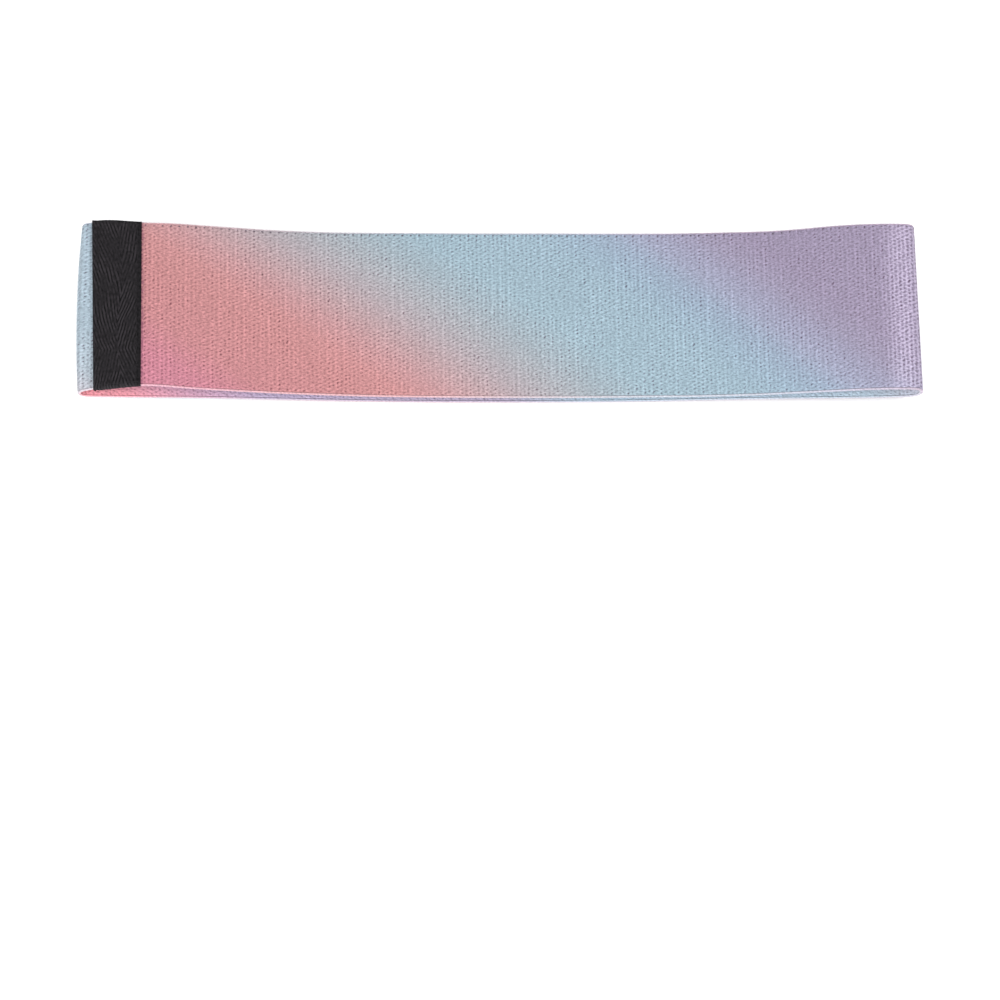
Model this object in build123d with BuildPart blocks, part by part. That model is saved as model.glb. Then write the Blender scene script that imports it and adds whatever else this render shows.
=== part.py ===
"""Fabric resistance band: a closed loop of woven elastic webbing, lying flat and right side out.

Millimetres. X runs along the flattened band, with the sewn lap seam at -X and the plain fold at +X.
Y runs across the webbing's width, which is also the way through the loop. Z is up from the surface
that the band lies on. The origin is the bottom centre of the bounding box.
"""

import math
import os

from build123d import *

# ---------------------------------------------------------------- driving dimensions
LENGTH = 380.0  # flattened band, fold to fold
WIDTH = 80.0
WEB_T = 1.8  # whole webbing
FABRIC_T = 0.5  # each woven face
CORE_D = 0.7  # rubber thread between the two faces
CORE_COUNT = 22
CORE_PITCH = 3.6
LOCK_D = 0.5  # thread that locks the weft loops along one edge
SELVAGE_W = 0.75
SELVAGE_T = 1.7
EDGE_CLEAR = 0.05  # between the selvages and the woven faces

LAP_GAP = 0.4  # between the two overlapping ends, where the label is caught
LAP_Z = 18.2  # middle line of the inner end
OUTER_END_X = -182.8  # raw end that lies on top
INNER_END_X = -161.0  # raw end that lies beneath it
FRONT_DROP = (-152.0, 40.0)  # X where the front wall turns down from the seam, and its bend radius

# Corners of the webbing's middle line past there: x, z, bend radius.
FRONT_WALL = [
    (-105.0, 11.9, 150.0),
    (-40.0, 8.0, 400.0),
    (40.0, 7.0, 400.0),
    (105.0, 8.3, 150.0),
    (160.0, 18.2, 100.0),
]
PLAIN_FOLD = (18.6, 7.0, 5.4)  # top z, low z, bend radius
BACK_WALL = [(115.0, 4.6, 300.0), (50.0, WEB_T / 2, 300.0), (-45.0, WEB_T / 2, 300.0)]
SEAM_FOLD = (8.9, 4.3)  # low z, bend radius

GRIP_D = 0.6  # latex grip thread on the inner face
GRIP_PITCH = 2.0
GRIP_PER_STRIPE = 7
GRIP_START_X = -144.0  # on the front wall, past the label
GRIP_END_X = -182.9  # on top of the seam end's fold, beside the inner tape
STRIPES = {"north": 9.1, "south": -11.9}  # middle of each grip stripe along Y
TIE_T = 0.16  # tie threads between the woven face and the grip threads
TIE_W = 0.5
TIE_PITCH = 7.2

TAPE_T = 0.7
TAPE_CLEAR = 0.05
OUTER_TAPE_X = (-183.6, -160.4)
INNER_TAPE_X = (-182.6, -160.1)
HEM_W = 3.0
HEM_T = 0.45

LABEL_T = 0.3
LABEL_H = 33.6
LABEL_Y = (STRIPES["north"] + STRIPES["south"]) / 2
LABEL_REACH = 7.5
LABEL_TAIL = 6.0
LABEL_DROOP = 4.0  # degrees that the flap hangs down at rest

STITCH_L = 2.4
STITCH_PITCH = 3.2
STITCH_W = 0.35
STITCH_T = 0.2
ROW_INSET = 2.0  # stitch row from the tape's edge
HEM_STITCHES = 6

# ---------------------------------------------------------------- worked out
END_X = (LENGTH - WEB_T) / 2
OUTER_LAP_Z = LAP_Z + WEB_T + LAP_GAP
FACE_MID = (WEB_T - FABRIC_T) / 2
LAP_TOP = OUTER_LAP_Z + WEB_T / 2
LAP_BOTTOM = LAP_Z - WEB_T / 2
LABEL_Z = LAP_Z + WEB_T / 2 + LAP_GAP / 2
HINGE_X = INNER_TAPE_X[1] + 0.1

# The webbing's middle line in the X-Z plane, from the outer raw end, along the front wall, round the
# plain fold, back along the floor and round the other fold to the inner raw end: x, z, bend radius.
MIDDLE_LINE = [
    (OUTER_END_X, OUTER_LAP_Z, None),
    (FRONT_DROP[0], OUTER_LAP_Z, FRONT_DROP[1]),
    *FRONT_WALL,
    (END_X, PLAIN_FOLD[0], PLAIN_FOLD[2]),
    (END_X, PLAIN_FOLD[1], PLAIN_FOLD[2]),
    *BACK_WALL,
    (-END_X, SEAM_FOLD[0], SEAM_FOLD[1]),
    (-END_X, LAP_Z, SEAM_FOLD[1]),
    (INNER_END_X, LAP_Z, None),
]


# The grip threads run along part of it: they begin on the front wall's slope and end at the inner tape.
SLOPE = (FRONT_WALL[0][1] - OUTER_LAP_Z) / (FRONT_WALL[0][0] - FRONT_DROP[0])
GRIP_LINE = [
    (GRIP_START_X, OUTER_LAP_Z + SLOPE * (GRIP_START_X - FRONT_DROP[0]), None),
    *MIDDLE_LINE[2:-1],
    (GRIP_END_X, LAP_Z, None),
]


# ---------------------------------------------------------------- the loop's parallel lines
def parallel_line(route, outward):
    """Corner points and radii of a line parallel to the route, outward from it."""
    spots = [Vector(x, z) for x, z, _ in route]
    ways = [(b - a).normalized() for a, b in zip(spots, spots[1:])]
    sides = [Vector(-way.Y, way.X) for way in ways]
    points = [spots[0] + sides[0] * outward]
    radii = []
    for corner in range(1, len(spots) - 1):
        before, after = sides[corner - 1], sides[corner]
        points.append(spots[corner] + (before + after) * (outward / (1 + before.dot(after))))
        clockwise = before.cross(after).Z < 0
        bend = route[corner][2]
        radii.append(bend + outward if clockwise else bend - outward)
    points.append(spots[-1] + sides[-1] * outward)
    return [(p.X, p.Y) for p in points], radii


def loop_strip(name, middle, thickness, y_low, y_high):
    """A strip of even thickness that follows the whole loop, from y_low to y_high."""
    outer, outer_radii = parallel_line(MIDDLE_LINE, middle + thickness / 2)
    inner, inner_radii = parallel_line(MIDDLE_LINE, middle - thickness / 2)
    with BuildPart() as strip:
        with BuildSketch(Plane.XZ.offset(-y_high)):
            with BuildLine():
                FilletPolyline(*outer, radius=outer_radii)
                FilletPolyline(*inner, radius=inner_radii)
                Line(outer[0], inner[0])
                Line(outer[-1], inner[-1])
            make_face()
        extrude(amount=y_high - y_low)
    save(strip, name)


def loop_thread(name, route, outward, diameter, y):
    """A round thread that follows the route at one place across the width."""
    points, radii = parallel_line(route, outward)
    with BuildPart() as thread:
        with BuildLine(Plane.XZ.offset(-y)):
            FilletPolyline(*points, radius=radii)
        ahead = Vector(points[1][0] - points[0][0], 0, points[1][1] - points[0][1])
        start = Plane(origin=(points[0][0], y, points[0][1]), z_dir=ahead)
        with BuildSketch(start):
            Circle(diameter / 2)
        sweep()
    save(thread, name)


def save(piece, name):
    piece.part.label = name
    export_step(piece.part, f"parts/{name}.step")


# ---------------------------------------------------------------- webbing
def make_webbing():
    face_edge = WIDTH / 2 - SELVAGE_W - EDGE_CLEAR
    loop_strip("outer_fabric", FACE_MID, FABRIC_T, -face_edge, face_edge)
    loop_strip("inner_fabric", -FACE_MID, FABRIC_T, -face_edge, face_edge)
    loop_strip("selvage_north", 0, SELVAGE_T, WIDTH / 2 - SELVAGE_W, WIDTH / 2)
    loop_strip("selvage_south", 0, SELVAGE_T, -WIDTH / 2, SELVAGE_W - WIDTH / 2)
    loop_thread("edge_lock_thread", MIDDLE_LINE, 0, LOCK_D, face_edge - LOCK_D / 2)
    for number in range(CORE_COUNT):
        y = (number - (CORE_COUNT - 1) / 2) * CORE_PITCH
        loop_thread(f"rubber_thread_{number + 1:02d}", MIDDLE_LINE, 0, CORE_D, y)


# ---------------------------------------------------------------- grip stripes
def make_grips():
    """Latex threads on the inner face, which stop at the inner seam tape, and the ties beneath them."""
    tie_middle = -(WEB_T / 2 + 0.02 + TIE_T / 2)
    grip_middle = -(WEB_T / 2 + 0.04 + TIE_T + GRIP_D / 2)
    stripe_w = (GRIP_PER_STRIPE - 1) * GRIP_PITCH + GRIP_D
    for stripe, middle_y in STRIPES.items():
        for number in range(GRIP_PER_STRIPE):
            y = middle_y + (number - (GRIP_PER_STRIPE - 1) / 2) * GRIP_PITCH
            loop_thread(f"grip_thread_{stripe}_{number + 1}", GRIP_LINE, grip_middle, GRIP_D, y)
        points, radii = parallel_line(GRIP_LINE, tie_middle)
        with BuildPart() as ties:
            with BuildLine(mode=Mode.PRIVATE) as route:
                FilletPolyline(*points, radius=radii)
            wire = route.wire()
            count = int(wire.length / TIE_PITCH)
            for number in range(count):
                spot = wire.position_at((number + 0.5) / count)
                way = wire.tangent_at((number + 0.5) / count)
                angle = -math.degrees(math.atan2(way.Y, way.X))
                with Locations(Location((spot.X, middle_y, spot.Y), (0, angle, 0))):
                    Box(TIE_W, stripe_w, TIE_T)
        save(ties, f"grip_ties_{stripe}")


# ---------------------------------------------------------------- seam tapes
def seam_tape(name, x_span, near, away, flange_x, flange_reach):
    """A tape across the seam with a turned-in long edge and a hem at each end.

    near is the Z of its face against the webbing, away is +1 above the webbing and -1 below it.
    """
    length = x_span[1] - x_span[0]
    middle = (x_span[0] + x_span[1]) / 2
    with BuildPart() as tape:
        with Locations((middle, 0, near + away * TAPE_T / 2)):
            Box(length, WIDTH, TAPE_T)
        with Locations((flange_x, 0, near - away * flange_reach / 2)):
            Box(TAPE_T, WIDTH, flange_reach)
        hem_z = near + away * (TAPE_T + HEM_T / 2)
        with Locations((middle, (WIDTH - HEM_W) / 2, hem_z), (middle, (HEM_W - WIDTH) / 2, hem_z)):
            Box(length, HEM_W, HEM_T)
    save(tape, name)


def stitch_row(name, x, face, away):
    """Lockstitches in a line along Y on a tape's face."""
    count = int((WIDTH - 2 * HEM_W) / STITCH_PITCH)
    with BuildPart() as row:
        with Locations((x, 0, face + away * (0.02 + STITCH_T / 2))):
            with GridLocations(1, STITCH_PITCH, 1, count):
                Box(STITCH_W, STITCH_L, STITCH_T)
    save(row, name)


def hem_stitches(name, x_span, y, face, away):
    """Lockstitches in a line along X on a tape's hem."""
    with BuildPart() as row:
        with Locations(((x_span[0] + x_span[1]) / 2, y, face + away * (0.02 + STITCH_T / 2))):
            with GridLocations(STITCH_PITCH, 1, HEM_STITCHES, 1):
                Box(STITCH_L, STITCH_W, STITCH_T)
    save(row, name)


def make_seam():
    outer_near = LAP_TOP + TAPE_CLEAR
    inner_near = LAP_BOTTOM - TAPE_CLEAR
    reach = WEB_T + TAPE_CLEAR + LAP_GAP / 2
    seam_tape("outer_seam_tape", OUTER_TAPE_X, outer_near, 1, OUTER_TAPE_X[0] + TAPE_T / 2, reach)
    seam_tape("inner_seam_tape", INNER_TAPE_X, inner_near, -1, INNER_TAPE_X[1] - TAPE_T / 2,
              WEB_T + TAPE_CLEAR - 0.05)
    for side, x_span, near, away in (
        ("outer", OUTER_TAPE_X, outer_near, 1),
        ("inner", INNER_TAPE_X, inner_near, -1),
    ):
        face = near + away * TAPE_T
        stitch_row(f"{side}_tape_stitches_left", x_span[0] + ROW_INSET, face, away)
        stitch_row(f"{side}_tape_stitches_right", x_span[1] - ROW_INSET, face, away)
        hem_face = face + away * HEM_T
        hem_y = (WIDTH - HEM_W) / 2
        hem_stitches(f"{side}_hem_stitches_north", x_span, hem_y, hem_face, away)
        hem_stitches(f"{side}_hem_stitches_south", x_span, -hem_y, hem_face, away)


# ---------------------------------------------------------------- side label
def make_label():
    """The tail is caught between the two webbing ends. The flap turns about its round root."""
    with BuildPart() as tail:
        with Locations((HINGE_X - 0.2 - LABEL_TAIL / 2, LABEL_Y, LABEL_Z)):
            Box(LABEL_TAIL, LABEL_H, LABEL_T)
    save(tail, "label_tail")

    droop = math.radians(LABEL_DROOP)
    middle_x = HINGE_X + LABEL_REACH / 2 * math.cos(droop)
    middle_z = LABEL_Z - LABEL_REACH / 2 * math.sin(droop)
    with BuildPart() as flap:
        with BuildSketch(Plane.XZ.offset(-LABEL_Y - LABEL_H / 2)):
            with Locations((middle_x, middle_z)):
                SlotOverall(LABEL_REACH + LABEL_T, LABEL_T, rotation=-LABEL_DROOP)
        extrude(amount=LABEL_H)
    save(flap, "label_flap")


os.makedirs("parts", exist_ok=True)
make_webbing()
make_grips()
make_seam()
make_label()
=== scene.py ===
"""Visual model of the fabric resistance band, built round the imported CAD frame.

A point on the band is written (s, y, out) in millimetres: s along the loop from the outer raw end, y
across the webbing, and out along the normal from the webbing's middle line. place() turns it into
metres in the frame's axes.
"""

import math

import bpy
import numpy as np
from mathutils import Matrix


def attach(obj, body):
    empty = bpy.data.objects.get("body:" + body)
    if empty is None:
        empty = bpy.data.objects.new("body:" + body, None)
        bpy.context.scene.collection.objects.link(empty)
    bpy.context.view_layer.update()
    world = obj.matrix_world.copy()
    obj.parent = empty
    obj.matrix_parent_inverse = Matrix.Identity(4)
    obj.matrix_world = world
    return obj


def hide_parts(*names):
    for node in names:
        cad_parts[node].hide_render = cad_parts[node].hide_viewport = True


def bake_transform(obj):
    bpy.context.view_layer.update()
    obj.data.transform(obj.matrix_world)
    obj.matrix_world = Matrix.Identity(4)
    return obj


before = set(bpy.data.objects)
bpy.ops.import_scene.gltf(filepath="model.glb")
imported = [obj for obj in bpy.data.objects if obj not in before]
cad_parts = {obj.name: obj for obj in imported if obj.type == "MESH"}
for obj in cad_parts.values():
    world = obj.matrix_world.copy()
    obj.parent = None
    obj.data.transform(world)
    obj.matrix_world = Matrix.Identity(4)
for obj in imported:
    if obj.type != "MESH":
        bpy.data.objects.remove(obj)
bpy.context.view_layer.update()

TURN = 2 * math.pi
WIDTH = 80.0
FACE_Y = 39.2  # the woven faces' edge
FACE_OUT = 0.9  # outside of each woven face, from the webbing's middle line
FACE_HIDDEN = 0.4  # its hidden side, which lies on the rubber threads
CORNER_CUTS = 7  # rounds of corner cutting that smooth an edge line
SAMPLES = 6000  # points along each edge line of the loop
MESH_STEP = 0.94  # along the woven faces, two to each column of pits

# The webbing's middle line along its two edges, as x and z of smoothed corners.
NORTH = [
    (-183.6, 21.4), (-176, 22.4), (-168, 21.5), (-160, 20.7), (-152, 20.0), (-137, 17.0),
    (-110, 12.0), (-90, 9.8), (-73, 8.6), (-46, 8.1), (-10, 7.8), (30, 7.4), (69, 7.4), (92, 8.0),
    (119, 9.7), (137, 12.7), (152, 16.4), (168, 18.6), (181, 18.9), (188.3, 18.0), (188.3, 9.0),
    (180, 7.4), (150, 5.6), (117, 4.4), (90, 3.0), (60, 1.4), (20, 0.9), (-30, 0.9), (-72, 2.0),
    (-108, 4.2), (-135, 5.8), (-160, 7.4), (-178, 9.0), (-189.8, 10.6), (-189.8, 19.5),
    (-182, 19.2), (-174, 20.1), (-161, 18.3),
]
SOUTH = [
    (-180.0, 16.6), (-172, 19.0), (-160, 21.5), (-151, 21.3), (-143, 19.6), (-134, 17.8),
    (-107, 13.4), (-72, 9.3), (-45, 8.0), (-23, 7.2), (9, 6.7), (45, 6.9), (67, 7.4), (90, 8.1),
    (117, 10.3), (134, 12.9), (149, 15.0), (165, 17.3), (176, 18.0), (188.7, 17.8), (188.7, 9.3),
    (180, 7.6), (150, 6.2), (117, 5.2), (90, 3.7), (60, 1.9), (20, 0.9), (-30, 0.9), (-72, 2.5),
    (-108, 4.9), (-135, 6.6), (-160, 7.2), (-178, 8.0), (-188.6, 8.4), (-188.8, 14.0),
    (-181, 14.0), (-172, 16.6), (-161, 19.0),
]
DRIFT = (1.8, 0.8)  # how far north the inner end is sewn, at its south and north edges
DRIFT_RUN = (32, 17)  # where that begins and is complete, from the inner raw end
GATHER = 0.9  # how far the outer raw end is drawn in at the south
PINCH = 0.01  # share of its width that the webbing loses beside the tape
BELLY = 1.4  # how far the fold beside the seam swells between its edges

GRIP_MIDDLES = (9.1, -11.9)  # middle of each grip stripe
TAPE_W = 24.2  # across a seam tape, its turned edge included
TAPE_REACH = 20.6  # how much of the webbing a seam tape covers, from the raw end
RIB_APEX, RIB_REVERSAL = 14.6, -22.0  # across and along the tape, where its ribs change direction
RIB_PITCH, RIB_SLOPE = 1.5, 0.3
RIB_SWAY, SWAY_RUN = 1.2, 9  # how far and how slowly the apex wanders
RIB_MARGIN = (2.6, 1.6)  # from the tape's edge, where its ribs fade and where they end


# ---------------------------------------------------------------- the loop's shape
def smooth_line(corners):
    """Even points along the corner-cut line, the way it heads at each, and its length."""
    line = np.array(corners, float)
    for _ in range(CORNER_CUTS):
        near, far = line[:-1], line[1:]
        cut = np.empty((2 * len(near), 2))
        cut[0::2] = 0.75 * near + 0.25 * far
        cut[1::2] = 0.25 * near + 0.75 * far
        line = np.vstack([line[:1], cut, line[-1:]])
    length = np.concatenate([[0], np.cumsum(np.hypot(*np.diff(line, axis=0).T))])
    even = np.linspace(0, length[-1], SAMPLES + 1)
    points = np.stack([np.interp(even, length, line[:, k]) for k in (0, 1)], 1)
    ways = np.gradient(points, axis=0)
    return points, ways / np.linalg.norm(ways, axis=1)[:, None], length[-1]


south_points, south_ways, south_length = smooth_line(SOUTH)
north_points, north_ways, north_length = smooth_line(NORTH)
LOOP = (south_length + north_length) / 2
HIDDEN_STEP = 3  # mesh steps of a woven face to each step of its hidden side
COLUMNS = 2 * HIDDEN_STEP * round(LOOP / (2 * HIDDEN_STEP * MESH_STEP))  # mesh steps along the loop
ROWS = 82  # mesh steps across, two to each row of pits
COLUMN = 2 * LOOP / COLUMNS
ROW = 4 * FACE_Y / ROWS
SEAM_FOLD = LOOP - 33.0  # the middle of the fold beside the seam
PAINTED_SHEEN_FOLD = 368.0  # where a painted sheen and painted glints lighten the outer face, over the other fold


def smoothstep(low, high, value):
    t = np.clip((value - low) / (high - low), 0, 1)
    return t * t * (3 - 2 * t)


def hump(value, middle, reach):
    return np.exp(-(((value - middle) / reach) ** 2))


def sway(s, y):
    """Slow lumps in the lifted parts of the front wall."""
    inside = smoothstep(34, 80, s) * (1 - smoothstep(300, 350, s))
    lumps = np.sin(s / 11.3 + y / 23) * 0.5 + np.sin(s / 7.1 - y / 14 + 2) * 0.3
    return 0.16 * inside * (lumps + 0.4 * np.sin(y / 6.5 + s / 29))


def gathered(s, y):
    """The webbing's y, where its outer raw end is drawn in."""
    return y + GATHER * hump(s, 2, 10) * np.clip(0.5 - y / WIDTH, 0, 1)


def place(s, y, out):
    """Metres in the frame's axes. Past a raw end the loop goes straight on."""
    s, y, out = np.broadcast_arrays(np.asarray(s, float), y, out)
    spot = s / LOOP * SAMPLES
    low = np.clip(spot.astype(int), 0, SAMPLES - 1)
    past = (spot - low)[..., None]
    share = np.clip(past, 0, 1)
    across = (y / WIDTH + 0.5)[..., None]
    y = y * (1 - PINCH * hump(s, 20, 14))
    south, north = DRIFT
    drift = south * (1 - across[..., 0]) + north * across[..., 0]
    y = y + drift * smoothstep(LOOP - DRIFT_RUN[0], LOOP - DRIFT_RUN[1], s)
    point, way = 0, 0
    for points, ways, part in (
        (south_points, south_ways, 1 - across),
        (north_points, north_ways, across),
    ):
        point = point + part * (points[low] + (points[low + 1] - points[low]) * past)
        way = way + part * (ways[low] * (1 - share) + ways[low + 1] * share)
    way = way / np.linalg.norm(way, axis=-1)[..., None]
    lift = out + sway(s, y) + BELLY * (1 - (y / 40) ** 2) * hump(s, SEAM_FOLD, 14)
    x = point[..., 0] - way[..., 1] * lift
    z = point[..., 1] + way[..., 0] * lift
    return np.stack([x, y, z], -1) / 1000


# ---------------------------------------------------------------- meshes
SHARP_ANGLE = 50  # degrees between faces from which an edge is drawn sharp


def new_piece(name, spots, faces, marks):
    """A mesh object from (s, y, out) spots; marks is what its material reads at each spot."""
    mesh = bpy.data.meshes.new(name)
    spots = np.asarray(spots, float)
    mesh.from_pydata(place(*spots.T).tolist(), [], faces)
    band = mesh.attributes.new("band", "FLOAT_VECTOR", "POINT")
    band.data.foreach_set("vector", np.asarray(marks, np.float32).ravel())
    mesh.shade_smooth()
    mesh.set_sharp_from_angle(angle=math.radians(SHARP_ANGLE))
    piece = bpy.data.objects.new(name, mesh)
    bpy.context.scene.collection.objects.link(piece)
    return piece


def closed_sheet(name, upper, lower, marks, every=(1, 1)):
    """A closed sheet. upper is a grid of spots; lower is one with each every-th line of it."""
    count_s, count_y = upper.shape[:2]
    low_s, low_y = lower.shape[:2]
    step_s, step_y = every
    top = np.arange(count_s * count_y).reshape(count_s, count_y)
    bottom = count_s * count_y + np.arange(low_s * low_y).reshape(low_s, low_y)

    def quads(grid):
        corners = (grid[:-1, :-1], grid[1:, :-1], grid[1:, 1:], grid[:-1, 1:])
        return np.stack(corners, -1).reshape(-1, 4)

    faces = quads(top).tolist() + quads(bottom)[:, ::-1].tolist()
    for i in range(low_s - 1):
        run = slice(i * step_s, (i + 1) * step_s + 1)
        near, far = top[run, 0].tolist(), top[run, -1].tolist()
        faces.append([int(bottom[i, 0]), int(bottom[i + 1, 0]), *near[::-1]])
        faces.append([int(bottom[i + 1, -1]), int(bottom[i, -1]), *far])
    for j in range(low_y - 1):
        run = slice(j * step_y, (j + 1) * step_y + 1)
        near, far = top[0, run].tolist(), top[-1, run].tolist()
        faces.append([int(bottom[0, j]), *near, int(bottom[0, j + 1])])
        faces.append([int(bottom[-1, j + 1]), *far[::-1], int(bottom[-1, j])])
    if upper[..., 2].mean() < lower[..., 2].mean():
        faces = [face[::-1] for face in faces]
    spots = np.vstack([upper.reshape(-1, 3), lower.reshape(-1, 3)])
    marks = np.vstack([marks.reshape(-1, 3), marks[::step_s, ::step_y].reshape(-1, 3)])
    return new_piece(name, spots, faces, marks)


def tubes(name, paths, wide, thick, sides=8, ends=1.0):
    """Threads in one mesh. A path is rows of (s, y, out); wide and thick are half sizes."""
    angle = np.arange(sides) / sides * TURN
    spots, faces = [], []
    start = 0
    for path in paths:
        path = np.asarray(path, float)
        count = len(path)
        ahead = np.gradient(path, axis=0)
        ahead /= np.linalg.norm(ahead, axis=1)[:, None]
        side = np.stack([-ahead[:, 1], ahead[:, 0], 0 * ahead[:, 0]], 1)
        side /= np.linalg.norm(side, axis=1)[:, None]
        up = np.cross(ahead, side)
        size = np.ones(count)
        size[[0, -1]] = ends
        half_w = (np.broadcast_to(wide, count) * size)[:, None, None]
        half_t = (np.broadcast_to(thick, count) * size)[:, None, None]
        ring = side[:, None] * half_w * np.cos(angle)[:, None]
        ring = ring + up[:, None] * half_t * np.sin(angle)[:, None]
        spots.append((path[:, None] + ring).reshape(-1, 3))
        near = start + np.arange(count * sides).reshape(count, sides)
        turned = np.roll(near, -1, axis=1)
        walls = np.stack([near[:-1], turned[:-1], turned[1:], near[1:]], -1)
        faces += walls.reshape(-1, 4).tolist()
        faces += [near[0, ::-1].tolist(), near[-1].tolist()]
        start += count * sides
    spots = np.vstack(spots)
    return new_piece(name, spots, faces, spots)


# ---------------------------------------------------------------- materials
def colour(red, green, blue):
    """Linear colour from 0-255 sRGB."""
    values = np.array([red, green, blue]) / 255
    linear = np.where(values > 0.04045, ((values + 0.055) / 1.055) ** 2.4, values / 12.92)
    return (*linear.tolist(), 1.0)


class Graph:
    """A material whose nodes are written as expressions."""

    def __init__(self, name, roughness=0.6, specular=0.35, sheen=0.0):
        self.material = bpy.data.materials.new(name)
        self.material.use_nodes = True
        self.tree = self.material.node_tree
        self.shader = self.tree.nodes["Principled BSDF"]
        self.shader.inputs["Roughness"].default_value = roughness
        self.shader.inputs["Specular IOR Level"].default_value = specular
        self.shader.inputs["Sheen Weight"].default_value = sheen
        band = self.node("Attribute", attribute_name="band")
        self.band = band.outputs["Vector"]
        parts = self.node("SeparateXYZ", {0: self.band})
        self.s, self.y, self.out = parts.outputs

    def node(self, kind, inputs=None, **settings):
        made = self.tree.nodes.new("ShaderNode" + kind)
        for key, value in settings.items():
            setattr(made, key, value)
        for key, value in (inputs or {}).items():
            self.put(made.inputs[key], value)
        return made

    def put(self, socket, value):
        if isinstance(value, bpy.types.NodeSocket):
            self.tree.links.new(value, socket)
        else:
            socket.default_value = value

    def math(self, operation, *values):
        made = self.node("Math", dict(enumerate(values)), operation=operation)
        return made.outputs[0]

    def sum(self, start, *terms):
        """start + factor * value for each (factor, value)."""
        total = start
        for factor, value in terms:
            total = self.math("MULTIPLY_ADD", value, factor, total)
        return total

    def wave(self, turns):
        return self.math("COSINE", self.math("MULTIPLY", turns, TURN))

    def step(self, value, low, high, first=0.0, last=1.0):
        inputs = {0: value, 1: low, 2: high, 3: first, 4: last}
        made = self.node("MapRange", inputs, interpolation_type="SMOOTHSTEP")
        return made.outputs[0]

    def mix(self, share, one, two, blend="MIX"):
        inputs = {0: share, 6: one, 7: two}
        made = self.node("Mix", inputs, data_type="RGBA", blend_type=blend)
        return made.outputs[2]

    def ramp(self, value, low, high, stops):
        """A colour by value, from stops of (value, (red, green, blue))."""
        share = self.node("MapRange", {0: value, 1: low, 2: high}).outputs[0]
        made = self.node("ValToRGB", {0: share})
        elements = made.color_ramp.elements
        while len(elements) < len(stops):
            elements.new(0.5)
        for element, (spot, rgb) in zip(elements, stops):
            element.position = (spot - low) / (high - low)
            element.color = colour(*rgb)
        return made.outputs[0]

    def noise(self, stretch, detail=2.0, roughness=0.5):
        """Smooth noise from 0 to 1 over the band; stretch is cycles to the mm along s, y, out."""
        spot = self.node("VectorMath", {0: self.band, 1: stretch}, operation="MULTIPLY")
        inputs = {"Vector": spot.outputs[0], "Scale": 1.0, "Detail": detail, "Roughness": roughness}
        return self.node("TexNoise", inputs).outputs[0]

    def bump(self, height, millimetres):
        inputs = {"Height": height, "Strength": 1.0, "Distance": millimetres / 1000}
        self.put(self.shader.inputs["Normal"], self.node("Bump", inputs).outputs[0])

    def paint(self, value):
        self.put(self.shader.inputs["Base Color"], value)
        return self.material


OUTER_DYE = [
    (-60, (206, 132, 152)), (-16, (208, 135, 151)), (14, (206, 140, 144)), (60, (205, 142, 143)),
    (80, (208, 147, 148)), (98, (204, 154, 157)), (119, (194, 164, 168)), (139, (184, 172, 178)),
    (160, (176, 179, 186)), (180, (167, 182, 192)), (202, (163, 187, 200)), (250, (161, 185, 200)),
    (268, (159, 181, 199)), (284, (159, 175, 196)), (298, (164, 168, 192)), (310, (162, 161, 186)),
    (324, (161, 153, 178)), (340, (159, 147, 173)), (455, (159, 145, 171)), (520, (190, 150, 165)),
    (565, (206, 144, 148)), (625, (190, 168, 175)), (670, (168, 190, 202)), (698, (194, 196, 206)),
    (712, (196, 193, 202)), (728, (180, 193, 204)), (752, (175, 193, 206)), (860, (178, 197, 212)),
]
# The inner face's print; its last stops, near the seam end, are lightened as painted light against the
# shade under the seam and tape.
INNER_DYE_AND_PAINTED_LIGHT = [
    (-60, (214, 140, 148)), (-5, (212, 144, 158)), (45, (188, 158, 180)), (80, (172, 158, 182)),
    (215, (170, 157, 183)), (258, (160, 187, 199)), (330, (161, 186, 199)), (372, (170, 180, 198)),
    (425, (190, 184, 198)), (460, (182, 200, 214)), (590, (176, 196, 213)), (625, (184, 172, 196)),
    (735, (188, 172, 198)), (765, (210, 164, 186)), (795, (238, 158, 171)), (860, (236, 154, 158)),
]
DYE_RANGE = (-60, 860)
PIT_SHADE_DEPTHS = (-0.3, -0.36, -0.33)  # painted shade in a pit: how dark it is in red, green and blue


def dye_and_painted_light(graph, outer):
    """The printed colour, which runs aslant across the webbing; the inner one holds painted light near
    the seam end.
    """
    if outer:
        slant = graph.math("MAXIMUM", graph.sum(1.75, (-0.00176, graph.s)), 1.2)
        spot = graph.math("MULTIPLY_ADD", graph.y, slant, graph.s)
        return graph.ramp(spot, *DYE_RANGE, OUTER_DYE)
    return graph.ramp(graph.sum(0.0, (1.0, graph.s), (-1.5, graph.y)), *DYE_RANGE, INNER_DYE_AND_PAINTED_LIGHT)


def weave_height(graph):
    """The same lattice of pits as weave(), with wandering threads."""
    drift = graph.noise((0.11, 0.16, 0.0), 2.0)
    shake = graph.noise((0.45, 0.6, 0.0), 1.0)
    column = graph.sum(-0.45, (1 / COLUMN, graph.s), (0.3, drift), (0.6, shake))
    row = graph.sum(-0.7, (1 / ROW, graph.y), (-0.5 / COLUMN, graph.s), (0.5, drift), (0.9, shake))
    both = graph.math("ADD", column, row)
    hatch = graph.step(graph.noise((0.025, 0.03, 0.0), 1.0), 0.35, 0.65)
    upright = graph.math("MULTIPLY", graph.wave(column), graph.sum(1.1, (-0.45, hatch)))
    aslant = graph.math("MULTIPLY", graph.wave(row), graph.sum(0.85, (0.4, hatch)))
    return graph.sum(0.0, (1.0, upright), (1.0, aslant), (0.5, graph.wave(both)))


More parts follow.
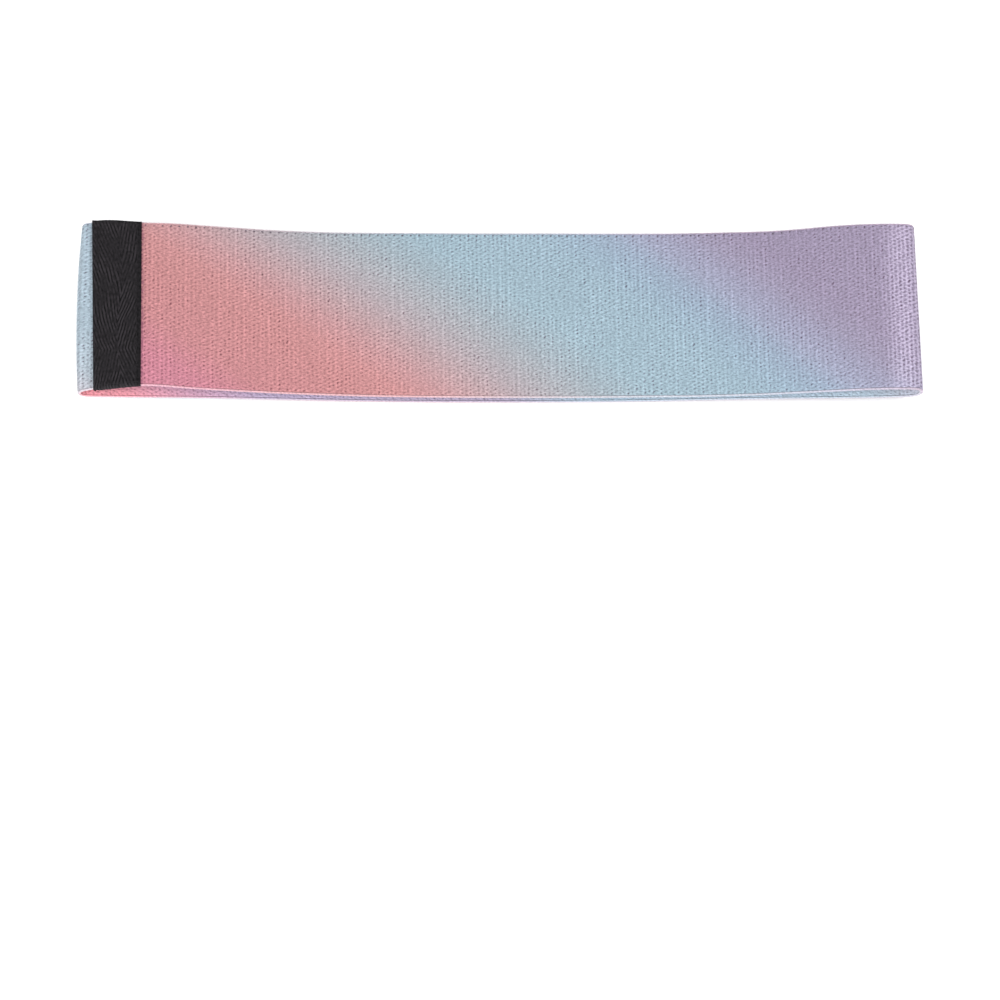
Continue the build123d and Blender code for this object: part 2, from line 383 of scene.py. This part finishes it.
def fabric(name, outer):
    """A woven face. Its pits and floats are stronger in some patches than in others."""
    graph = Graph(name, specular=0.22, sheen=0.05)
    height = weave_height(graph)
    patch = graph.step(graph.noise((0.05, 0.035, 0.0), 3.0), 0.32, 0.6, 0.35, 1.0)
    single = graph.step(graph.noise((0.4, 0.5, 0.0), 1.0), 0.36, 0.6, 0.4, 1.05)
    other = graph.sum(0.82, (0.22, graph.wave(graph.sum(0.0, (0.5 / COLUMN, graph.s)))))
    patch = graph.math("MULTIPLY", graph.math("MULTIPLY", patch, single), other)
    if not outer:
        patch = graph.math("MULTIPLY", patch, 0.75)

    # Painted shade in the pits, painted highlights on the floats between them, fibres, painted sheen
    # lines between the pit columns and single painted highlight flecks.
    pits = graph.math("MULTIPLY", graph.step(height, 1.15, 2.25), patch)
    floats = graph.math("MULTIPLY", graph.step(height, 0.2, -1.3), patch)
    grain = graph.noise((0.75, 1.2, 0.0), 4.0, 0.75)
    stripes = graph.step(graph.wave(graph.sum(0.13, (0.5 / COLUMN, graph.s))), 0.4, 1.0)
    stripes = graph.math("MULTIPLY", stripes, graph.step(graph.noise((0.2, 0.03, 0.0)), 0.4, 0.65))
    highlight_flecks = graph.step(graph.noise((0.75, 1.5, 0.0), 1.0), 0.66, 0.76)

    # The inner face starts lighter than the outer, partly as painted light that lifts the shade inside
    # the loop.
    light = graph.sum(0.56 if outer else 0.82, (1.3, graph.math("SUBTRACT", grain, 0.5)))
    # The floats, the sheen lines and the flecks add painted highlights here.
    light = graph.sum(light, (0.08, stripes), (0.13, floats), (0.16, highlight_flecks))
    if outer:
        # Painted sheen and painted glints on the outer face over the other fold, where that fold
        # catches the light.
        painted_fold_sheen = graph.step(graph.math("ABSOLUTE", graph.sum(-PAINTED_SHEEN_FOLD, (1.0, graph.s))), 13.0, 3.0)
        painted_glints = graph.math("MULTIPLY", graph.step(height, 0.7, -0.7), graph.step(grain, 0.3, 0.6))
        painted_glints = graph.math("MULTIPLY", painted_fold_sheen, painted_glints)
        light = graph.sum(light, (0.04, painted_fold_sheen), (0.2, painted_glints))
    # The painted pit shade darkens red, green and blue by different amounts.
    shades = [graph.sum(light, (depth, pits)) for depth in PIT_SHADE_DEPTHS]
    shade = graph.node("CombineXYZ", dict(enumerate(shades))).outputs[0]
    tint = graph.mix(1.0, dye_and_painted_light(graph, outer), shade, "MULTIPLY")
    if outer:
        # The painted glints are tinted towards a near-white lilac, as a painted highlight.
        tint = graph.mix(graph.math("MULTIPLY", painted_glints, 0.14), tint, colour(214, 206, 222))
        # Painted shade in the seam's puckers, beside the outer tape's far edge.
        spread = graph.noise((0.9, 0.75, 0.0), 2.0)
        away = graph.sum(-TAPE_REACH, (1.0, graph.s), (-1.4, spread))  # from the outer tape's far edge
        marks = graph.math("MULTIPLY", graph.step(away, 1.0, 0.0), graph.step(spread, 0.36, 0.6))
        tint = graph.mix(graph.math("MULTIPLY", marks, 0.6), tint, colour(112, 60, 84))
    else:
        for middle in GRIP_MIDDLES:
            inside = graph.math("ABSOLUTE", graph.sum(-middle, (1.0, graph.y)))
            pale = graph.step(inside, 7.0, 6.0, 0.0, 0.6)  # the undyed weft under a grip stripe
            tint = graph.mix(pale, tint, colour(226, 218, 224))
    rough = graph.sum(0.42, (0.2, grain), (0.25, pits), (-0.1, floats))
    graph.put(graph.shader.inputs["Roughness"], rough)
    bumps = graph.sum(0.0, (-0.32, graph.step(height, -0.2, 2.3)), (0.16, grain))
    graph.bump(bumps, 0.5)
    return graph.paint(tint)


def selvage_finish(name):
    graph = Graph(name, roughness=0.55, specular=0.4, sheen=0.15)
    loops = graph.wave(graph.sum(0.0, (1 / COLUMN, graph.s), (0.35, graph.out)))
    grain = graph.noise((1.2, 2.0, 2.0), 2.0, 0.6)
    light = graph.sum(0.63, (0.04, loops), (0.8, graph.math("SUBTRACT", grain, 0.5)))
    shade = graph.node("CombineXYZ", {0: light, 1: light, 2: light}).outputs[0]
    outward = graph.step(graph.out, -0.6, 0.3)
    # Paler than the webbing, more so on its outward side: partly lighter yarn, partly a painted
    # highlight along the rounded edge.
    pale = graph.mix(outward, dye_and_painted_light(graph, False), dye_and_painted_light(graph, True))
    pale = graph.mix(graph.sum(0.08, (0.2, outward)), pale, colour(244, 214, 224))
    graph.bump(graph.sum(0.0, (0.5, loops), (0.3, grain)), 0.15)
    return graph.paint(graph.mix(1.0, pale, shade, "MULTIPLY"))


def thread_finish(name, low, high, roughness, twist=1.1, depth=0.12, specular=0.4):
    """A spun or braided thread, dark in its twists."""
    graph = Graph(name, roughness=roughness, specular=specular)
    turns = graph.sum(0.0, (twist, graph.s), (twist * 0.8, graph.y))
    grain = graph.noise((0.8, 2.2, 2.2), 3.0, 0.6)
    lay = graph.math("ADD", graph.math("MULTIPLY", graph.wave(turns), 0.25), grain)
    share = graph.step(lay, 0.25, 0.85)
    graph.bump(lay, depth)
    return graph.paint(graph.mix(share, colour(*low), colour(*high)))


def twill_finish(name):
    """Herringbone ribs, as ribs() shapes them; the attribute's s is measured across the tape."""
    graph = Graph(name, roughness=0.7, specular=0.08)
    swing = graph.math("SINE", graph.math("MULTIPLY", graph.y, 1 / SWAY_RUN))
    middle = graph.sum(RIB_APEX, (RIB_SWAY, swing))
    aside = graph.math("ABSOLUTE", graph.math("SUBTRACT", graph.s, middle))
    down = graph.math("ABSOLUTE", graph.sum(-RIB_REVERSAL, (1.0, graph.y)))
    drift = graph.noise((0.1, 0.07, 0.0), 2.0)
    phase = graph.sum(0.0, (-1 / RIB_PITCH, aside), (RIB_SLOPE / RIB_PITCH, down), (1.6, drift))
    rib = graph.wave(phase)
    grain = graph.noise((0.9, 0.6, 0.0), 4.0, 0.7)
    worn = graph.noise((0.09, 0.06, 0.0), 3.0)
    from_middle = graph.math("ABSOLUTE", graph.sum(-TAPE_W / 2, (1.0, graph.s)))
    plain = graph.step(from_middle, TAPE_W / 2 - RIB_MARGIN[0], TAPE_W / 2 - RIB_MARGIN[1])
    broken = graph.step(graph.noise((0.35, 0.3, 0.0), 2.0), 0.36, 0.58, 0.1, 1.0)
    strength = graph.math("MULTIPLY", graph.step(worn, 0.34, 0.62, 0.2, 1.1), broken)
    strength = graph.math("MULTIPLY", strength, graph.math("SUBTRACT", 1.0, plain))
    raised = graph.math("MULTIPLY", graph.step(rib, -1.0, 0.5, -0.7), strength)
    grit = graph.math("SUBTRACT", grain, 0.5)
    share = graph.sum(0.4, (0.6, raised), (1.7, grit), (-0.12, plain))
    graph.bump(graph.sum(0.0, (0.3, graph.math("MULTIPLY", rib, strength)), (0.5, grain)), 0.16)
    return graph.paint(graph.mix(share, colour(6, 6, 7), colour(42, 39, 42)))


def satin_finish(name):
    graph = Graph(name, roughness=0.38, specular=0.5)
    lines = graph.wave(graph.sum(0.0, (2.6, graph.y), (0.3, graph.noise((0.4, 0.4, 0.0)))))
    grain = graph.noise((1.4, 4.0, 0.0), 3.0, 0.6)
    share = graph.sum(0.3, (0.12, lines), (0.5, graph.math("SUBTRACT", grain, 0.5)))
    graph.bump(graph.sum(0.0, (0.3, lines), (0.3, grain)), 0.05)
    return graph.paint(graph.mix(share, colour(17, 17, 19), colour(44, 44, 47)))


def floor_finish(name):
    graph = Graph(name, roughness=0.85, specular=0.15)
    place_of = graph.node("TexCoord").outputs["Object"]
    cloud = graph.node("TexNoise", {"Vector": place_of, "Scale": 3.0, "Detail": 2.0}).outputs[0]
    return graph.paint(graph.mix(cloud, colour(245, 245, 246), colour(249, 249, 249)))


# ---------------------------------------------------------------- woven faces
PIT = 0.2  # depth of a pit
SELVAGE_Y = 39.56  # a selvage's middle
CORE_COUNT, CORE_PITCH = 22, 3.6
SEWN = 22.2  # the line beside the tape along which the seam puckers the outer face
LOCK_Y = 38.75  # the lock thread's line


def weave(s, y):
    """The height of the pit pattern: highest at the pits, which stand in staggered columns."""
    column, row = TURN * s / COLUMN, TURN * (y / ROW - 0.5 * s / COLUMN)
    return 0.9 * np.cos(column) + np.cos(row) + 0.5 * np.cos(column + row)


def woven_face(name, outward):
    s = np.linspace(0, LOOP, COLUMNS + 1)[:, None]
    y = np.linspace(-FACE_Y, FACE_Y, ROWS + 1)[None, :]
    s, y = np.broadcast_arrays(s, y)
    deep = 0.55 + 0.3 * np.sin(s / 17 + 1) * np.sin(y / 12 + s / 40) + 0.15 * np.sin(s / 6.3 - y / 9)
    relief = PIT * deep * smoothstep(0.2, 2.3, weave(s, y))
    relief = relief - 0.04 * np.cos(TURN * 0.5 * s / COLUMN)
    marks = np.stack([s, y, 0 * s], -1)
    if outward > 0:
        pucker = hump(s, SEWN, 1.2) * (0.6 + 0.4 * np.sin(y * 1.7 + np.sin(y / 3)))
        relief = relief + 0.22 * pucker
    edge = smoothstep(FACE_Y - 0.9, FACE_Y, np.abs(y))
    height = outward * (FACE_OUT - relief - 0.12 * edge)
    upper = np.stack([s, gathered(s, y), height], -1)
    every = (HIDDEN_STEP, ROWS // 2)
    lower = upper[:: every[0], :: every[1]].copy()
    lower[..., 2] = outward * FACE_HIDDEN
    return closed_sheet(name, upper, lower, marks, every)


def selvage(name, y):
    """The looped edge, with one weft loop to each column of pits."""
    s = np.linspace(0, LOOP, 2 * COLUMNS + 1)
    wide = 0.40 + 0.035 * np.cos(TURN * s / COLUMN)
    path = np.stack([s, gathered(s, 0 * s + y), 0 * s], 1)
    return tubes(name, [path], wide, 0.84, sides=12)


def lock_thread(name):
    """A catch thread that shows as dots along the north edge on both faces."""
    pitch = 2 * COLUMN
    s = np.linspace(1.0, LOOP - 1.0, 10 * COLUMNS // 2)
    y = LOCK_Y + 0.25 * np.sin(s / 23) * np.sin(s / 7.1) - 0.2 * np.cos(2 * TURN * s / pitch)
    out = (0.84 + 0.08 * np.sin(s / 5.3)) * np.cos(TURN * s / pitch)
    return tubes(name, [np.stack([s, y, out], 1)], 0.22, 0.16, sides=6)


def core_thread(name, y, number):
    s = np.linspace(0.4, LOOP - 0.4, 520)
    wander = 0.1 * np.sin(TURN * s / 7.5 + number)
    return tubes(name, [np.stack([s, y + wander, 0 * s], 1)], 0.34, 0.33, sides=8)


# ---------------------------------------------------------------- grip stripes
GRIP_COUNT = 7  # threads in a stripe
GRIP_PITCH = 1.92
GRIP_PERIOD = 7.2  # from one tie to the next
GRIP_START = 31.6  # just past the label
GRIP_OUT = -1.36  # a thread's middle
TIE_OUT = -1.0
TAPE_START = LOOP - TAPE_REACH  # where the inner tape covers the webbing
STRIPE_EDGE = 5.9  # from a stripe's middle to the start of its short ends


def grip_wander(s, number):
    """Each grip thread runs a little aslant, then steps back, in every period."""
    turn = s / GRIP_PERIOD + 0.035 * np.sin(number * 2.3 + s / 37)
    part = turn - np.floor(turn)
    slow = np.where(part < 0.72, part / 0.72, 1 - (part - 0.72) / 0.28)
    return 0.36 * np.sin((slow - 0.5) * math.pi) + 0.07 * np.sin(s / 3.1 + number * 1.7)


def grip_thread(name, middle, number):
    s = np.linspace(GRIP_START, TAPE_START, 1180)
    y = middle + (number - GRIP_COUNT // 2) * GRIP_PITCH + grip_wander(s, number + middle)
    out = GRIP_OUT - 0.06 * np.cos(TURN * s / GRIP_PERIOD + number)
    wide = 0.56 + 0.06 * np.sin(s * 1.9 + number) + 0.05 * np.sin(s / 2.3 + number * 3)
    return tubes(name, [np.stack([s, y, out], 1)], wide, 0.33, sides=8)


def grip_ties(name, middle):
    """Dark threads under the grip threads that tie them down, and short ends at the borders."""
    paths = []
    count = int((TAPE_START - GRIP_START) / GRIP_PERIOD)
    for number in range(count):
        start = GRIP_START + (number + 0.83) * GRIP_PERIOD
        for strand in (-0.55, 0.0, 0.55):
            y = np.linspace(-6.1, 6.1, 15)
            s = start + strand + 0.22 * y + 0.25 * np.sin(y * 1.6 + number)
            paths.append(np.stack([s, middle + y, 0 * y + TIE_OUT], 1))
    pitch = GRIP_PERIOD * 0.52
    for number in range(int((TAPE_START - GRIP_START - 3) / pitch)):
        start = GRIP_START + 1.0 + number * pitch
        reach = 0.75 + 0.25 * math.sin(number * 2.7)
        for side in (-1, 1):
            y = np.linspace(STRIPE_EDGE, STRIPE_EDGE + 0.5 + reach, 5) * side
            s = start + (np.abs(y) - STRIPE_EDGE) * (0.7 + 0.5 * math.sin(number * 1.3 + side))
            out = -0.98 - 0.22 * np.linspace(1, 0, 5)
            paths.append(np.stack([s, middle + y, out], 1))
    return tubes(name, paths, 0.2, 0.11, sides=6, ends=0.5)


# ---------------------------------------------------------------- seam tapes
TAPE_T = 0.55
TAPE_NEAR = 0.93  # its side against the webbing, from the webbing's middle line
TURN_RADIUS = 0.75  # of the turned-in long edge
TURN_DROP = 1.55  # how far that edge goes in
LIP = 1.7  # how far the tape's ends curl over the selvages
LIP_START, LIP_RUN = 39.0, 0.95  # where that curl begins in y, and its length
TAPE_END = LIP_START + LIP_RUN
HEM_T = 0.38  # what the folded ends add to the thickness
HEM_RISE = (36.9, 37.6)  # where in y that thickness begins and is complete
ROW_INSETS = (("left", 2.15), ("right", 20.3))  # stitch rows, from the turned edge


def ribs(across, y):
    """Height of the herringbone ribs, from 0 to 1."""
    aside = np.abs(across - (RIB_APEX + RIB_SWAY * np.sin(y / SWAY_RUN)))
    down = np.abs(y - RIB_REVERSAL)
    fade, end = (TAPE_W / 2 - margin for margin in RIB_MARGIN)
    plain = smoothstep(fade, end, np.abs(across - TAPE_W / 2))
    return (0.5 + 0.5 * np.cos(TURN * (RIB_SLOPE * down - aside) / RIB_PITCH)) * (1 - plain)


def seam_tape(name, corner, heading, sign, south, north):
    """A tape over the seam whose long edge turns in over the webbing's raw end.

    corner is the s at which it turns, heading is the way along s that leads away from the turned
    edge, sign is 1 on the outer face and -1 on the inner, and south and north are its reach.
    """
    across = np.linspace(0, TAPE_W, 63)
    arc = TURN_RADIUS * math.pi / 2
    turned = np.clip((across - TURN_DROP) / arc, 0, 1) * math.pi / 2
    middle = TAPE_NEAR + TAPE_T / 2
    ahead = np.where(across > TURN_DROP + arc, across - TURN_DROP - arc, 0.0)
    s_mid = TURN_RADIUS * (1 - np.cos(turned)) + ahead
    inward = np.clip(TURN_DROP - across, 0, None)
    out_mid = middle - TURN_RADIUS + TURN_RADIUS * np.sin(turned) - inward
    normal_s, normal_out = -np.cos(turned), np.sin(turned)
    lip = np.array([39.3, 39.6, 39.8, 39.9, TAPE_END])
    y = np.concatenate([-lip[::-1], np.linspace(-LIP_START, LIP_START, 157), lip])
    over, along = np.meshgrid(across, y, indexing="ij")
    hem = smoothstep(*HEM_RISE, np.abs(along))
    curl = np.clip((np.abs(along) - LIP_START) / LIP_RUN, 0, 1)
    lip_drop = LIP * (1 - np.sqrt(1 - curl**2))
    cockle = 0.07 * np.sin(along / 3.1 + over / 5) + 0.06 * np.sin(along / 7.7 - over / 3)
    flat = smoothstep(TURN_DROP, TURN_DROP + 3, over)
    rise = 0.07 * ribs(over, along) + HEM_T * hem * flat + cockle * flat
    rise = rise - 0.1 * (hump(over, 4.4, 0.5) + hump(over, TAPE_W - 2, 0.5))  # beside the stitch rows
    edge_y = np.where(along < 0, south, north) / TAPE_END * along

    def spots(height):
        height = height - lip_drop * normal_out[:, None] * flat
        s = corner + heading * (s_mid[:, None] + normal_s[:, None] * height)
        out = sign * (out_mid[:, None] + normal_out[:, None] * height)
        return np.stack([s, edge_y, out], -1)

    upper = spots(TAPE_T / 2 + rise)
    lower = spots(0 * rise - TAPE_T / 2)
    marks = np.stack([over, along, 0 * over], -1)
    if heading * sign < 0:
        upper, lower, marks = upper[::-1], lower[::-1], marks[::-1]
    return closed_sheet(name, upper, lower, marks)


STITCH_HALF = 1.2
STITCH_PITCH = 3.2


def stitches(name, starts, heading, face, sign):
    """Lockstitches that rise from the tape and dip back into it."""
    paths = []
    for number, (s, y) in enumerate(starts):
        along = np.linspace(-STITCH_HALF, STITCH_HALF, 9)
        lean = 0.06 * math.sin(number * 2.1)
        rise = 0.16 * (1 - (along / STITCH_HALF) ** 4)
        ds, dy = (along, along * lean) if heading == "s" else (along * lean, along)
        out = sign * (face - 0.12 + rise)
        paths.append(np.stack([s + ds, y + dy, out + 0 * along], 1))
    return tubes(name, paths, 0.19, 0.13, sides=8, ends=0.45)


# ---------------------------------------------------------------- side label
LABEL_Y = (-18.2, 15.4)
LABEL_ROOT = 22.9  # where the flap leaves the seam
LABEL_END = 30.6
LABEL_T = 0.11
LABEL_OUT = -1.0  # the upper layer of the label, between the two webbing ends
FLAP_FOLD = 0.3  # radius of the fold at the flap's end
FLAP_RUN = LABEL_END - FLAP_FOLD - 0.05
TAIL_FOLD = 0.085
TAIL_END = LABEL_ROOT - 6.2


def ribbon(name, path, y_span):
    """A thin woven ribbon that follows path, rows of (s, out), across y_span."""
    length = np.concatenate([[0], np.cumsum(np.hypot(*np.diff(path, axis=0).T))])
    way = np.gradient(path, axis=0)
    way /= np.linalg.norm(way, axis=1)[:, None]
    y = np.linspace(*y_span, 57)

    def spots(side):
        s = path[:, 0] - way[:, 1] * side
        out = path[:, 1] + way[:, 0] * side
        grid_s, grid_y = np.meshgrid(s, y, indexing="ij")
        droop = 0.05 * np.sin(grid_y / 4.2) * smoothstep(LABEL_ROOT, LABEL_END, grid_s)
        return np.stack([grid_s, grid_y, out[:, None] + droop], -1)

    marks = np.stack(np.meshgrid(length, y, indexing="ij") + [np.zeros((len(path), len(y)))], -1)
    return closed_sheet(name, spots(LABEL_T / 2), spots(-LABEL_T / 2), marks)


def label_flap(name):
    """The folded flap, which hangs down a little towards its end."""
    share = np.linspace(0, 1, 16)
    upper = np.stack([LABEL_ROOT + (FLAP_RUN - LABEL_ROOT) * share, LABEL_OUT - 0.05 * share**2], 1)
    top = upper[-1, 1]
    bend = np.linspace(-math.pi / 2, math.pi / 2, 9)[1:-1]
    fold_out = top - FLAP_FOLD - FLAP_FOLD * np.sin(bend)
    fold = np.stack([FLAP_RUN + FLAP_FOLD * np.cos(bend), fold_out], 1)
    back = np.stack([np.linspace(FLAP_RUN - 0.05, LABEL_ROOT, 16),
                     np.linspace(top - 2 * FLAP_FOLD, LABEL_OUT - 2 * TAIL_FOLD, 16)], 1)
    return ribbon(name, np.vstack([upper, fold, back]), LABEL_Y)


def label_tail(name):
    """The label's two ends, caught in the seam."""
    run = np.linspace(LABEL_ROOT - 0.05, TAIL_END, 14)
    upper = np.stack([run, 0 * run + LABEL_OUT], 1)
    bend = np.linspace(-math.pi / 2, math.pi / 2, 7)[1:-1]
    fold_out = LABEL_OUT - TAIL_FOLD - TAIL_FOLD * np.sin(bend)
    fold = np.stack([TAIL_END - TAIL_FOLD * np.cos(bend), fold_out], 1)
    lower = np.stack([run[::-1], 0 * run + LABEL_OUT - 2 * TAIL_FOLD], 1)
    return ribbon(name, np.vstack([upper, fold, lower]), LABEL_Y)


def finish_piece(piece, material, nodes, body=None):
    """The piece's look, the CAD nodes that it stands for and what it moves with."""
    piece.data.materials.append(material)
    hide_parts(*nodes)
    if body:
        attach(piece, body)
    else:
        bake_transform(piece)
    return piece


outer_weave = fabric("outer_weave", True)
inner_weave = fabric("inner_weave", False)
selvage_yarn = selvage_finish("selvage_yarn")
lock_yarn = thread_finish("lock_yarn", (48, 40, 52), (92, 80, 94), 0.7)
core_rubber = thread_finish("core_rubber", (196, 186, 166), (228, 220, 204), 0.5, twist=0.3)
grip_latex = thread_finish("grip_latex", (17, 17, 19), (46, 45, 49), 0.5, twist=0.8, depth=0.1)
tie_yarn = thread_finish("tie_yarn", (15, 15, 17), (40, 39, 43), 0.75)
sewing_yarn = thread_finish("sewing_yarn", (9, 9, 10), (38, 36, 39), 0.65, twist=1.6, specular=0.15)
twill = twill_finish("twill")
satin = satin_finish("satin")

outer_face = finish_piece(
    woven_face("outer_fabric_weave", 1), outer_weave, ["outer_fabric"]
)
inner_face = finish_piece(
    woven_face("inner_fabric_weave", -1), inner_weave, ["inner_fabric"]
)
for side, sign in (("north", 1), ("south", -1)):
    edge = selvage(f"selvage_{side}_loops", sign * SELVAGE_Y)
    finish_piece(edge, selvage_yarn, [f"selvage_{side}"])
finish_piece(lock_thread("edge_lock_stitches"), lock_yarn, ["edge_lock_thread"])
for number in range(1, CORE_COUNT + 1):
    y = (number - (CORE_COUNT + 1) / 2) * CORE_PITCH
    core = core_thread(f"rubber_thread_{number:02d}_core", y, number)
    finish_piece(core, core_rubber, [f"rubber_thread_{number:02d}"])
for side, middle in zip(("north", "south"), GRIP_MIDDLES):
    for number in range(GRIP_COUNT):
        grip = grip_thread(f"grip_thread_{side}_{number + 1}_latex", middle, number)
        finish_piece(grip, grip_latex, [f"grip_thread_{side}_{number + 1}"])
    ties = grip_ties(f"grip_ties_{side}_strands", middle)
    finish_piece(ties, tie_yarn, [f"grip_ties_{side}"])

OUTER_CORNER, INNER_CORNER = -1.35, LOOP + 1.35  # where each tape turns in over its raw end
HEM_Y = 38.4
for side, corner, heading, sign, reach in (
    ("outer", OUTER_CORNER, 1, 1, (39.95, 40.2)),
    ("inner", INNER_CORNER, -1, -1, (39.8, 39.5)),
):
    tape = seam_tape(f"{side}_seam_tape_twill", corner, heading, sign, *reach)
    finish_piece(tape, twill, [f"{side}_seam_tape"], "seam_end")
    face = TAPE_NEAR + TAPE_T
    for row, inset in ROW_INSETS:
        spots = [(corner + heading * inset, k * STITCH_PITCH) for k in range(-11, 12)]
        line = stitches(f"{side}_tape_stitches_{row}_thread", spots, "y", face, sign)
        finish_piece(line, sewing_yarn, [f"{side}_tape_stitches_{row}"], "seam_end")
    for end, y in (("north", HEM_Y), ("south", -HEM_Y)):
        spots = [(corner + heading * (2.4 + STITCH_PITCH * (k + 0.5)), y) for k in range(6)]
        line = stitches(f"{side}_hem_stitches_{end}_thread", spots, "s", face + 0.36, sign)
        finish_piece(line, sewing_yarn, [f"{side}_hem_stitches_{end}"], "seam_end")

tail = finish_piece(label_tail("label_tail_satin"), satin, ["label_tail"], "seam_end")
flap = label_flap("label_flap_satin")
flap.data.materials.append(satin)
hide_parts("label_flap")
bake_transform(flap)

# ---------------------------------------------------------------- floor, light and camera
FLOOR_SIZE, FLOOR_Z = 8, -0.0003
bpy.ops.mesh.primitive_plane_add(size=FLOOR_SIZE, location=(0, 0, FLOOR_Z))
floor = bpy.context.object
floor.name = "floor"
floor.data.materials.append(floor_finish("pale_floor"))

world = bpy.data.worlds.new("studio")
bpy.context.scene.world = world
world.use_nodes = True
world.node_tree.nodes["Background"].inputs["Color"].default_value = (1.0, 1.0, 1.0, 1.0)
world.node_tree.nodes["Background"].inputs["Strength"].default_value = 0.72


def softbox(name, spot, size, power):
    """A round lamp at spot, turned towards the origin."""
    lamp = bpy.data.lights.new(name, "AREA")
    lamp.shape = "DISK"
    lamp.size = size
    lamp.energy = power
    box = bpy.data.objects.new(name, lamp)
    bpy.context.scene.collection.objects.link(box)
    box.location = spot
    box.rotation_euler = box.location.to_track_quat("Z", "Y").to_euler()


softbox("top_light", (-0.1, -0.55, 1.35), size=1.0, power=11.0)
softbox("right_light", (0.62, 0.44, 0.92), size=0.25, power=6.0)
softbox("left_light", (-1.0, -0.6, 0.5), size=0.5, power=5.0)
softbox("front_light", (0.0, -1.3, 0.5), size=0.9, power=12.0)

# The photo's view, from 68 degrees up, with the band in the upper half of the picture.
camera_data = bpy.data.cameras.new("camera")
camera_data.lens = 96.0
camera_data.sensor_width = 36.0
camera = bpy.data.objects.new("camera", camera_data)
bpy.context.scene.collection.objects.link(camera)
camera.location = (0.0, -0.4537, 1.135)
camera.rotation_euler = (math.radians(17.946), 0.0, 0.0)
bpy.context.scene.camera = camera
bpy.context.scene.view_settings.view_transform = "Standard"
